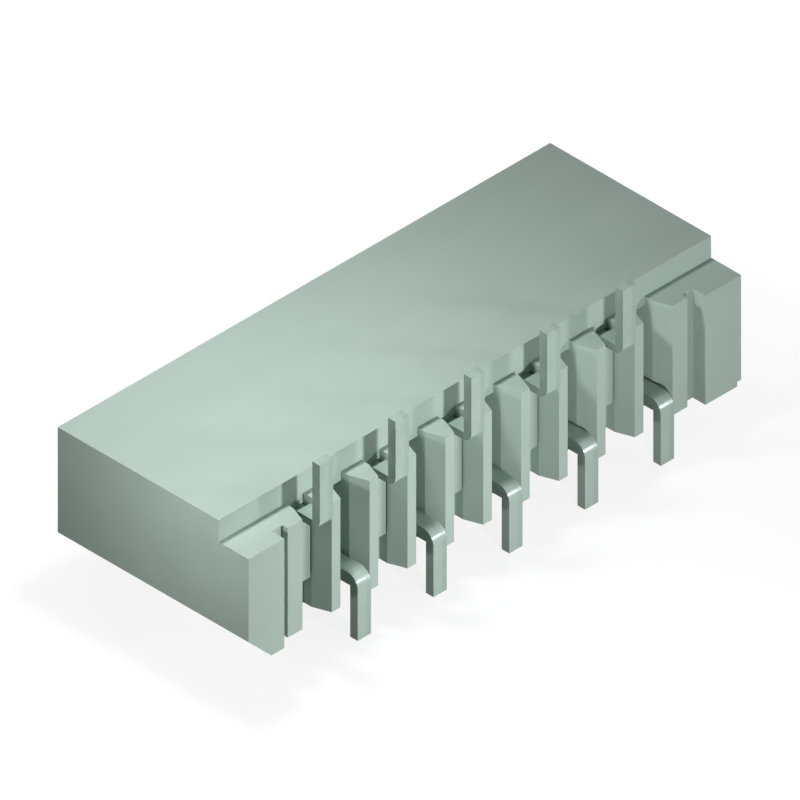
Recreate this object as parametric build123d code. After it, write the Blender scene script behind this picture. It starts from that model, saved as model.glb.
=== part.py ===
"""Flat flex connector: a moulded housing with one row of stamped fork contacts.

The connector lies on its long side. X runs along the row of contacts.
Y = 0 is the plane that the solder legs share, and the cable goes in from +Y.
The origin is the middle of the pattern of legs, at half the housing's height.
All sizes are in millimetres.
"""
import os

from build123d import *

# Row of contacts
POSITIONS = 10
PITCH = 1.25

# Cable that goes in
CABLE_SIDE_PLAY = 0.07
CABLE_WIDTH = (POSITIONS + 1) * PITCH

# Housing envelope
STAND_OFF = 0.07
BODY_DEPTH = 6.30
BODY_HEIGHT = 3.75
END_BLOCK_WIDTH = 1.18
SLOT_WIDTH = CABLE_WIDTH + 2 * CABLE_SIDE_PLAY
BODY_LENGTH = SLOT_WIDTH + 2 * END_BLOCK_WIDTH
MOUTH_Y = STAND_OFF + BODY_DEPTH
TOP_Z = BODY_HEIGHT / 2
BOTTOM_Z = -TOP_Z

# Step and comb at the board side
COMB_DEPTH = 0.99
STEP_DROP = 0.625
COMB_TOP_Z = TOP_Z - STEP_DROP
WALL_Y = STAND_OFF + COMB_DEPTH
RIB_SET_BACK = 0.24
RIB_Y = STAND_OFF + RIB_SET_BACK
RIB_FACE_WIDTH = 0.285
RIB_STRAIGHT_DEPTH = 0.26
GROOVE_WIDTH = 0.35
GROOVE_DEPTH = 0.42

# Lower edges of the housing
CHAMFER_SIZE = 0.75
RABBET_SIZE = 0.13

# Contact cavities
CABLE_DROP = 0.055
CABLE_Z = -CABLE_DROP
CAVITY_WIDTH = 0.605
CAVITY_HALF_HEIGHT = 1.05
CAVITY_FRONT_Y = MOUTH_Y - 0.65
RIB_ROOT_WIDTH = PITCH - CAVITY_WIDTH
REAR_WALL = 0.60

# Cable slot
SLOT_HEIGHT = 0.40
SLOT_DEPTH = 3.60
MOUTH_DEPTH = 0.60
MOUTH_HEIGHT = 1.30
MOUTH_SIDE_FLARE = 0.30

# Contact blade
BLADE_WIDTH = 0.44
LEG_THICKNESS = 0.25
LEG_REACH = 0.94
SPINE_Y = WALL_Y + REAR_WALL - 0.06
FORK_Y = SPINE_Y + 1.00
BARB_LENGTH = 0.80
BARB_SLOPE = 0.10

# Run to a leg that turns down, below the cavity
RUN_THICKNESS = 0.34
RUN_OUTER = 1.29
RUN_BEND_RADIUS = 0.36
CHANNEL_DEPTH = 1.04
RUN_END_Y = WALL_Y + CHANNEL_DEPTH - 0.06

# Heel and arm of a leg that turns up, behind the rear wall
HEEL_Y = WALL_Y - 0.30
HEEL_LOW = 0.91
ARM_TOP = 1.20
ARM_THICKNESS = 0.21
ARM_BEND_RADIUS = 0.28
ARM_GUSSET = 0.21

# Contact beams
BEAM_OUTER = 0.98
BEAM_ROOT_THICKNESS = 0.43
BEAM_TIP_Y = CAVITY_FRONT_Y - 0.12
BEAM_TIP_OUTER = 0.62
BEAM_TIP_INNER = 0.45
BUMP_SET_BACK = 0.45
BUMP_LENGTH = 0.90
BUMP_HALF_GAP = 0.10
BEAM_NECK_INNER = 0.38


def block(x_low, x_high, y_low, y_high, z_low, z_high):
    """Box between two values on each axis."""
    low_corner = Pos(x_low, y_low, z_low)
    size = (x_high - x_low, y_high - y_low, z_high - z_low)
    return low_corner * Box(*size, align=(Align.MIN, Align.MIN, Align.MIN))


def plan_prism(points, z_low, z_high):
    """Upright prism over a closed outline in plan."""
    outline = make_face(Polyline(*points, close=True))
    return extrude(Pos(0, 0, z_low) * outline, amount=z_high - z_low)


def contact_x(index):
    """Centre of one contact, counted from the low X end."""
    return (index - (POSITIONS - 1) / 2) * PITCH


def turns_up(index):
    """Legs leave over the two long sides in turn."""
    return index % 2 == 0


def rib(x_centre):
    """Rib between two contacts, narrowed in plan towards the board."""
    half_root = RIB_ROOT_WIDTH / 2
    half_face = RIB_FACE_WIDTH / 2
    straight_y = WALL_Y - RIB_STRAIGHT_DEPTH
    root_y = WALL_Y + REAR_WALL
    outline = [
        (x_centre - half_face, RIB_Y),
        (x_centre + half_face, RIB_Y),
        (x_centre + half_root, straight_y),
        (x_centre + half_root, root_y),
        (x_centre - half_root, root_y),
        (x_centre - half_root, straight_y),
    ]
    return plan_prism(outline, BOTTOM_Z, COMB_TOP_Z)


def end_piece(side):
    """End block, grooved web and the flat outer half of the end rib."""
    half_slot = SLOT_WIDTH / 2
    rib_side = half_slot - GROOVE_WIDTH
    rib_centre = POSITIONS * PITCH / 2
    root_y = WALL_Y + REAR_WALL
    outline = [
        (side * rib_centre, root_y),
        (side * rib_centre, RIB_Y),
        (side * rib_side, RIB_Y),
        (side * rib_side, STAND_OFF + GROOVE_DEPTH),
        (side * half_slot, STAND_OFF + GROOVE_DEPTH),
        (side * half_slot, STAND_OFF),
        (side * BODY_LENGTH / 2, STAND_OFF),
        (side * BODY_LENGTH / 2, root_y),
    ]
    return plan_prism(outline, BOTTOM_Z, COMB_TOP_Z)


def cavity(index):
    """Room for one contact, open to the board side, with a channel for a lower run."""
    x = contact_x(index)
    half = CAVITY_WIDTH / 2
    room = block(
        x - half, x + half, RIB_Y, CAVITY_FRONT_Y,
        CABLE_Z - CAVITY_HALF_HEIGHT, CABLE_Z + CAVITY_HALF_HEIGHT,
    )
    if turns_up(index):
        return room
    channel = block(
        x - half, x + half, RIB_Y, WALL_Y + CHANNEL_DEPTH,
        CABLE_Z - RUN_OUTER, CABLE_Z,
    )
    return room + channel


def cable_slot():
    """Slot for the cable with a flared mouth."""
    half_width = SLOT_WIDTH / 2
    half_height = SLOT_HEIGHT / 2
    slot = block(
        -half_width, half_width, MOUTH_Y - SLOT_DEPTH, MOUTH_Y,
        CABLE_Z - half_height, CABLE_Z + half_height,
    )
    deep_end = Plane((0, MOUTH_Y - MOUTH_DEPTH, CABLE_Z), x_dir=(1, 0, 0), z_dir=(0, 1, 0))
    open_end = Plane((0, MOUTH_Y, CABLE_Z), x_dir=(1, 0, 0), z_dir=(0, 1, 0))
    mouth = loft([
        deep_end * Rectangle(SLOT_WIDTH, SLOT_HEIGHT),
        open_end * Rectangle(SLOT_WIDTH + 2 * MOUTH_SIDE_FLARE, MOUTH_HEIGHT),
    ])
    return slot + mouth


def lower_edge_cuts():
    """Chamfer along one lower edge and a small rabbet along the other."""
    x_end = BODY_LENGTH / 2
    wedge_face = Plane.XZ * make_face(Polyline(
        (-x_end, BOTTOM_Z),
        (-x_end + CHAMFER_SIZE, BOTTOM_Z),
        (-x_end, BOTTOM_Z + CHAMFER_SIZE),
        close=True,
    ))
    wedge = extrude(wedge_face, amount=-(MOUTH_Y + STAND_OFF))
    rabbet = block(x_end - RABBET_SIZE, x_end, 0, MOUTH_Y, BOTTOM_Z, BOTTOM_Z + RABBET_SIZE)
    return wedge + rabbet


def make_housing():
    """One moulded piece: body, comb, cavities and cable slot."""
    x_end = BODY_LENGTH / 2
    housing = block(-x_end, x_end, WALL_Y, MOUTH_Y, BOTTOM_Z, TOP_Z)
    housing += end_piece(-1)
    housing += end_piece(1)
    for index in range(POSITIONS + 1):
        housing += rib(contact_x(index) - PITCH / 2)
    for index in range(POSITIONS):
        housing -= cavity(index)
    housing -= cable_slot()
    housing -= lower_edge_cuts()
    return housing


def fork_outline():
    """Both beams from barb to barb, as (Y, height over the cable plane)."""
    barb_y = SPINE_Y + BARB_LENGTH
    lower_beam = [
        (barb_y, -CAVITY_HALF_HEIGHT),
        (barb_y + BARB_SLOPE, -BEAM_OUTER),
        (BEAM_TIP_Y, -BEAM_TIP_OUTER),
        (BEAM_TIP_Y, -BEAM_TIP_INNER),
        (BEAM_TIP_Y - BUMP_SET_BACK, -BUMP_HALF_GAP),
        (BEAM_TIP_Y - BUMP_LENGTH, -BEAM_NECK_INNER),
        (FORK_Y, BEAM_ROOT_THICKNESS - BEAM_OUTER),
    ]
    return lower_beam + [(y, -height) for y, height in reversed(lower_beam)]


def blade_turned_down():
    """Outline with a run below the cavity, and the corner that its bend rounds."""
    run_top = RUN_THICKNESS - RUN_OUTER
    leg_end = BOTTOM_Z - LEG_REACH - CABLE_Z
    points = [
        (0, leg_end),
        (LEG_THICKNESS, leg_end),
        (LEG_THICKNESS, -RUN_OUTER),
        (RUN_END_Y, -RUN_OUTER),
        (RUN_END_Y, -CAVITY_HALF_HEIGHT),
    ]
    points += fork_outline()
    points += [(SPINE_Y, CAVITY_HALF_HEIGHT), (SPINE_Y, run_top), (0, run_top)]
    return points, (0, run_top), RUN_BEND_RADIUS


def blade_turned_up():
    """Outline with a heel and an arm behind the wall, and the corner that its bend rounds."""
    arm_bottom = ARM_TOP - ARM_THICKNESS
    leg_end = TOP_Z + LEG_REACH - CABLE_Z
    points = [(SPINE_Y, -CAVITY_HALF_HEIGHT)]
    points += fork_outline()
    points += [
        (HEEL_Y, CAVITY_HALF_HEIGHT),
        (HEEL_Y, ARM_TOP),
        (LEG_THICKNESS, ARM_TOP),
        (LEG_THICKNESS, leg_end),
        (0, leg_end),
        (0, arm_bottom),
        (HEEL_Y - ARM_GUSSET, arm_bottom),
        (HEEL_Y, arm_bottom - ARM_GUSSET),
        (HEEL_Y, -HEEL_LOW),
        (SPINE_Y, -HEEL_LOW),
    ]
    return points, (0, arm_bottom), ARM_BEND_RADIUS


def make_contact(index):
    """One stamped fork contact in its place in the row."""
    points, bend_at, radius = blade_turned_up() if turns_up(index) else blade_turned_down()
    outline = make_face(Polyline(*points, close=True))
    bend_corner = outline.vertices().sort_by_distance((*bend_at, 0))[0]
    outline = fillet(bend_corner, radius)
    blade = extrude(Plane.YZ * outline, amount=BLADE_WIDTH)
    return Pos(contact_x(index) - BLADE_WIDTH / 2, 0, CABLE_Z) * blade


os.makedirs("parts", exist_ok=True)
export_step(make_housing(), "parts/housing.step")
for number in range(POSITIONS):
    export_step(make_contact(number), f"parts/contact_{number + 1:02d}.step")
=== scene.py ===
"""Look of the flat flex connector: a grey-green moulded housing with pale plated contacts.

The frame is in metres. Lamps are placed in millimetres, and colours are linear.
"""
import math

import bpy
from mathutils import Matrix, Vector

MM = 0.001
WHITE = (1.0, 1.0, 1.0, 1.0)

# Camera of the photo: a parallel view from the board side, above the low X end
AZIMUTH = math.radians(-45.0)
ELEVATION = math.radians(35.2644)
VIEW_WIDTH = 18.665 * MM
VIEW_CENTRE = Vector((-3.20, 0.0, 3.374)) * MM
CAMERA_DISTANCE = 120.0 * MM
CLIP_NEAR = 1.0 * MM
CLIP_FAR = 1.0

# Radius on every piece's edges
EDGE_RADIUS = 0.02 * MM
EDGE_SEGMENTS = 2
EDGE_ANGLE = math.radians(28.0)

# Middle part of a noise's range, stretched over the whole mix of two colours
NOISE_MIDDLE = (0.3, 0.7)

# Plastic of the housing, with noise scales per millimetre
PLASTIC_COLOURS = ((0.368, 0.464, 0.418), (0.392, 0.490, 0.443))
PLASTIC_ROUGHNESS = (0.46, 0.60)
PLASTIC_SPECULAR = 0.28
FLOW_STRETCH = (0.25, 1.0, 1.0)
FLOW_SCALE = 0.9
GRAIN_SCALE = 28.0
GRAIN_STRENGTH = 0.6
PIT_SCALE = 9.0
PIT_STRENGTH = 0.5
RELIEF_HEIGHT = 0.004 * MM

# Plating of the contacts: on the cut edges, on the rolled faces darkened with painted shade, and where
# the metal tore
CUT_COLOURS = ((0.325, 0.428, 0.380), (0.357, 0.466, 0.415))
ROLLED_PAINTED_SHADE_COLOURS = ((0.222, 0.293, 0.259), (0.243, 0.319, 0.282))
TORN_COLOURS = ((0.270, 0.352, 0.313), (0.290, 0.376, 0.334))
PLATING_METALLIC = 0.16
PLATING_SPECULAR = 0.5
PLATING_ROUGHNESS = (0.20, 0.29)
PATCH_SCALE = 2.2

# Lines drawn along the blade
LINE_STRETCH = (1.0, 0.10, 0.10)
LINE_SCALE = 36.0
LINE_HEIGHT = 0.003 * MM
LINE_STRENGTH = 0.4

# Share of a normal along X at which a cut edge ends and a rolled face, with its painted shade, begins
EDGE_FACING = (0.3, 0.6)

# Torn zone: where it starts and is full across the blade, its share of colour, its added roughness
TORN_ZONE = (0.62, 0.70)
TORN_SHARE = 0.6
TORN_ROUGHNESS = 0.12

# Sky as light, and the white that the camera and reflections see
SKY_STRENGTH = 0.025
BACKGROUND_STRENGTH = 1.0

# Floor under the lowest legs. It glows less near the connector, so that its shadow shows there
FLOOR_Z = -2.815 * MM
FLOOR_SIZE = 2.0
FLOOR_COLOUR = (0.11, 0.114, 0.11, 1.0)
FLOOR_ROUGHNESS = 0.9
GLOW_NEAR = 0.84
GLOW_FAR = 1.0
GLOW_START = 9.0 * MM
GLOW_END = 26.0 * MM

# Lamps: name, place, aim and size in millimetres, power in watts.
# The first lights the comb and casts the legs' shadows on the rear wall.
# The second is far off, and the bends of the legs mirror it to the camera.
# The last two light the sides that the photo doesn't show.
LAMPS = (
    ("board_side", (-3.2, -13.6, 2.2), (-0.5, 2.0, 0.0), 1.5, 0.00172),
    ("sheen", (35.0, -44.0, 12.0), (0.0, 0.0, 0.0), 6.0, 0.0095),
    ("left", (-14.3, 1.1, 4.0), (-4.0, 3.0, 0.0), 1.5, 0.00036),
    ("above", (-5.6, 3.9, 16.0), (-0.5, 2.0, 0.0), 2.0, 0.0023),
    ("mouth_side", (2.0, 30.0, 2.0), (0.0, 3.0, 0.0), 8.0, 0.0045),
    ("right", (28.0, 8.0, 2.0), (0.0, 3.0, 0.0), 8.0, 0.0030),
)

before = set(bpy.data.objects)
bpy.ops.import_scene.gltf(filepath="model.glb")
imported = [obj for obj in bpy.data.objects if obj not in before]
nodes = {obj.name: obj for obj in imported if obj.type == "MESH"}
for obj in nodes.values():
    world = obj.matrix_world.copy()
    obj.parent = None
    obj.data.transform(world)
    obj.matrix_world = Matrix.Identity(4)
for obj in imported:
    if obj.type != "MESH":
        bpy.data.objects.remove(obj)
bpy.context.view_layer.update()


def new_material(name):
    """Empty node material with an output and a principled shader."""
    material = bpy.data.materials.new(name)
    material.use_nodes = True
    tree = material.node_tree
    tree.nodes.clear()
    output = tree.nodes.new("ShaderNodeOutputMaterial")
    shader = tree.nodes.new("ShaderNodeBsdfPrincipled")
    tree.links.new(shader.outputs["BSDF"], output.inputs["Surface"])
    return material, tree, shader


def millimetres(tree, stretch=(1.0, 1.0, 1.0)):
    """Object coordinates in millimetres, stretched along the axes."""
    source = tree.nodes.new("ShaderNodeTexCoord")
    mapping = tree.nodes.new("ShaderNodeMapping")
    mapping.inputs["Scale"].default_value = [value / MM for value in stretch]
    tree.links.new(source.outputs["Object"], mapping.inputs["Vector"])
    return mapping.outputs["Vector"]


def noise(tree, vector, scale, detail, roughness=0.5):
    """Noise value over a vector."""
    node = tree.nodes.new("ShaderNodeTexNoise")
    node.inputs["Scale"].default_value = scale
    node.inputs["Detail"].default_value = detail
    node.inputs["Roughness"].default_value = roughness
    tree.links.new(vector, node.inputs["Vector"])
    return node.outputs["Fac"]


def remap(tree, value, low, high, from_low=0.0, from_high=1.0):
    """Value moved from one range to another."""
    node = tree.nodes.new("ShaderNodeMapRange")
    node.inputs["From Min"].default_value = from_low
    node.inputs["From Max"].default_value = from_high
    node.inputs["To Min"].default_value = low
    node.inputs["To Max"].default_value = high
    tree.links.new(value, node.inputs["Value"])
    return node.outputs["Result"]


def calculate(tree, operation, *values):
    """Result of a math operation on one or two values."""
    node = tree.nodes.new("ShaderNodeMath")
    node.operation = operation
    for index, value in enumerate(values):
        tree.links.new(value, node.inputs[index])
    return node.outputs["Value"]


def mix(tree, factor, first, second):
    """Mix by a factor of two colours, each a plain one or another node's output."""
    node = tree.nodes.new("ShaderNodeMix")
    node.data_type = "RGBA"
    for socket, colour in (("A", first), ("B", second)):
        if isinstance(colour, tuple):
            node.inputs[socket].default_value = (*colour, 1.0)
        else:
            tree.links.new(colour, node.inputs[socket])
    tree.links.new(factor, node.inputs["Factor"])
    return node.outputs["Result"]


def bump(tree, height, distance, strength, normal=None):
    """Bump from a height, on top of another bump if there is one."""
    node = tree.nodes.new("ShaderNodeBump")
    node.inputs["Distance"].default_value = distance
    node.inputs["Strength"].default_value = strength
    tree.links.new(height, node.inputs["Height"])
    if normal is not None:
        tree.links.new(normal, node.inputs["Normal"])
    return node.outputs["Normal"]


def moulded_plastic():
    """Satin grey-green plastic with a fine spark-eroded grain and faint flow marks."""
    material, tree, shader = new_material("moulded_plastic")
    plain = millimetres(tree)
    clouds = noise(tree, millimetres(tree, FLOW_STRETCH), FLOW_SCALE, 3.0)
    grain = noise(tree, plain, GRAIN_SCALE, 3.0, 0.6)
    pits = noise(tree, plain, PIT_SCALE, 2.0)
    colour = mix(tree, remap(tree, clouds, 0.0, 1.0, *NOISE_MIDDLE), *PLASTIC_COLOURS)
    tree.links.new(colour, shader.inputs["Base Color"])
    tree.links.new(remap(tree, grain, *PLASTIC_ROUGHNESS), shader.inputs["Roughness"])
    shader.inputs["Specular IOR Level"].default_value = PLASTIC_SPECULAR
    coarse = bump(tree, pits, RELIEF_HEIGHT, PIT_STRENGTH)
    fine = bump(tree, grain, RELIEF_HEIGHT, GRAIN_STRENGTH, coarse)
    tree.links.new(fine, shader.inputs["Normal"])
    return material


def cut_edges(tree, source):
    """One on the blade's cut edges and none on its flat rolled faces, which look along X and are
    darkened with painted shade.
    """
    facing = tree.nodes.new("ShaderNodeSeparateXYZ")
    tree.links.new(source.outputs["Normal"], facing.inputs["Vector"])
    sideways = calculate(tree, "ABSOLUTE", facing.outputs["X"])
    return remap(tree, sideways, 1.0, 0.0, *EDGE_FACING)


def torn_side(tree, source, cut):
    """One on the part of the cut edges where the metal tore, beside one rolled face."""
    place = tree.nodes.new("ShaderNodeSeparateXYZ")
    tree.links.new(source.outputs["Generated"], place.inputs["Vector"])
    side = remap(tree, place.outputs["X"], 0.0, 1.0, *TORN_ZONE)
    return calculate(tree, "MULTIPLY", cut, side)


def plated_metal():
    """Satin tin plating with fine drawn lines, painted shade on the rolled faces that look along X,
    and duller where it tore.
    """
    material, tree, shader = new_material("plated_metal")
    source = tree.nodes.new("ShaderNodeTexCoord")
    lines = noise(tree, millimetres(tree, LINE_STRETCH), LINE_SCALE, 3.0, 0.6)
    patches = noise(tree, millimetres(tree), PATCH_SCALE, 3.0)
    tone = remap(tree, patches, 0.0, 1.0, *NOISE_MIDDLE)
    cut = cut_edges(tree, source)
    torn = torn_side(tree, source, cut)
    edges = mix(
        tree,
        remap(tree, torn, 0.0, TORN_SHARE),
        mix(tree, tone, *CUT_COLOURS),
        mix(tree, tone, *TORN_COLOURS),
    )
    # Painted shade: the rolled faces, which look along X, take a darker tone than the cut edges
    colour = mix(tree, cut, mix(tree, tone, *ROLLED_PAINTED_SHADE_COLOURS), edges)
    tree.links.new(colour, shader.inputs["Base Color"])
    shader.inputs["Metallic"].default_value = PLATING_METALLIC
    shader.inputs["Specular IOR Level"].default_value = PLATING_SPECULAR
    roughness = calculate(
        tree,
        "ADD",
        remap(tree, lines, *PLATING_ROUGHNESS),
        remap(tree, torn, 0.0, TORN_ROUGHNESS),
    )
    tree.links.new(roughness, shader.inputs["Roughness"])
    tree.links.new(bump(tree, lines, LINE_HEIGHT, LINE_STRENGTH), shader.inputs["Normal"])
    return material


def soften_edges(node):
    """Small radius on a piece's edges, as moulding or blanking leaves them."""
    bevel = node.modifiers.new("edge_radius", "BEVEL")
    bevel.width = EDGE_RADIUS
    bevel.segments = EDGE_SEGMENTS
    bevel.limit_method = "ANGLE"
    bevel.angle_limit = EDGE_ANGLE
    bevel.harden_normals = True
    bevel.use_clamp_overlap = True


def give(node, material):
    """One material over a whole piece."""
    node.data.materials.clear()
    node.data.materials.append(material)


def area_light(name, place, aim, size, power):
    """Soft white light at a place, turned to a point."""
    lamp = bpy.data.lights.new(name, "AREA")
    lamp.shape = "SQUARE"
    lamp.size = size * MM
    lamp.energy = power
    light = bpy.data.objects.new(name, lamp)
    light.location = Vector(place) * MM
    direction = (Vector(aim) - Vector(place)).normalized()
    light.rotation_euler = direction.to_track_quat("-Z", "Y").to_euler()
    bpy.context.scene.collection.objects.link(light)


def background_rays(tree):
    """One for the rays that see a background: the camera's, and those that gloss or glass sends on."""
    rays = tree.nodes.new("ShaderNodeLightPath")
    seen = rays.outputs["Is Camera Ray"]
    for kind in ("Is Glossy Ray", "Is Transmission Ray"):
        seen = calculate(tree, "MAXIMUM", seen, rays.outputs[kind])
    return seen


def white_background(tree, strength):
    """White light from all around, at one strength."""
    node = tree.nodes.new("ShaderNodeBackground")
    node.inputs["Color"].default_value = WHITE
    node.inputs["Strength"].default_value = strength
    return node.outputs["Background"]


def white_surroundings():
    """White where the camera, metal or glass sees it, and a dimmer white sky as light."""
    world = bpy.data.worlds.new("surroundings")
    world.use_nodes = True
    bpy.context.scene.world = world
    tree = world.node_tree
    tree.nodes.clear()
    output = tree.nodes.new("ShaderNodeOutputWorld")
    chosen = tree.nodes.new("ShaderNodeMixShader")
    tree.links.new(background_rays(tree), chosen.inputs["Fac"])
    tree.links.new(white_background(tree, SKY_STRENGTH), chosen.inputs[1])
    tree.links.new(white_background(tree, BACKGROUND_STRENGTH), chosen.inputs[2])
    tree.links.new(chosen.outputs["Shader"], output.inputs["Surface"])


def pale_floor():
    """Plain floor that the lowest legs touch, pale near the connector and white farther off."""
    material, tree, shader = new_material("pale_floor")
    shader.inputs["Base Color"].default_value = FLOOR_COLOUR
    shader.inputs["Roughness"].default_value = FLOOR_ROUGHNESS
    shader.inputs["Emission Color"].default_value = WHITE
    source = tree.nodes.new("ShaderNodeTexCoord")
    distance = tree.nodes.new("ShaderNodeVectorMath")
    distance.operation = "LENGTH"
    tree.links.new(source.outputs["Object"], distance.inputs[0])
    glow = remap(tree, distance.outputs["Value"], GLOW_NEAR, GLOW_FAR, GLOW_START, GLOW_END)
    shown = calculate(tree, "MULTIPLY", glow, background_rays(tree))
    tree.links.new(shown, shader.inputs["Emission Strength"])
    bpy.ops.mesh.primitive_plane_add(size=FLOOR_SIZE, location=(0.0, 0.0, FLOOR_Z))
    floor = bpy.context.object
    floor.name = "floor"
    floor.data.materials.append(material)


def photo_camera():
    """Parallel camera at the photo's angle."""
    lens = bpy.data.cameras.new("camera")
    lens.type = "ORTHO"
    lens.ortho_scale = VIEW_WIDTH
    lens.clip_start = CLIP_NEAR
    lens.clip_end = CLIP_FAR
    camera = bpy.data.objects.new("camera", lens)
    back = Vector((
        math.sin(AZIMUTH) * math.cos(ELEVATION),
        -math.cos(AZIMUTH) * math.cos(ELEVATION),
        math.sin(ELEVATION),
    ))
    camera.location = VIEW_CENTRE + back * CAMERA_DISTANCE
    camera.rotation_euler = (-back).to_track_quat("-Z", "Y").to_euler()
    bpy.context.scene.collection.objects.link(camera)
    bpy.context.scene.camera = camera


plastic = moulded_plastic()
metal = plated_metal()
for name, node in nodes.items():
    give(node, plastic if name == "housing" else metal)
    soften_edges(node)

for lamp_values in LAMPS:
    area_light(*lamp_values)
white_surroundings()
pale_floor()
photo_camera()

scene = bpy.context.scene
scene.view_settings.view_transform = "Standard"
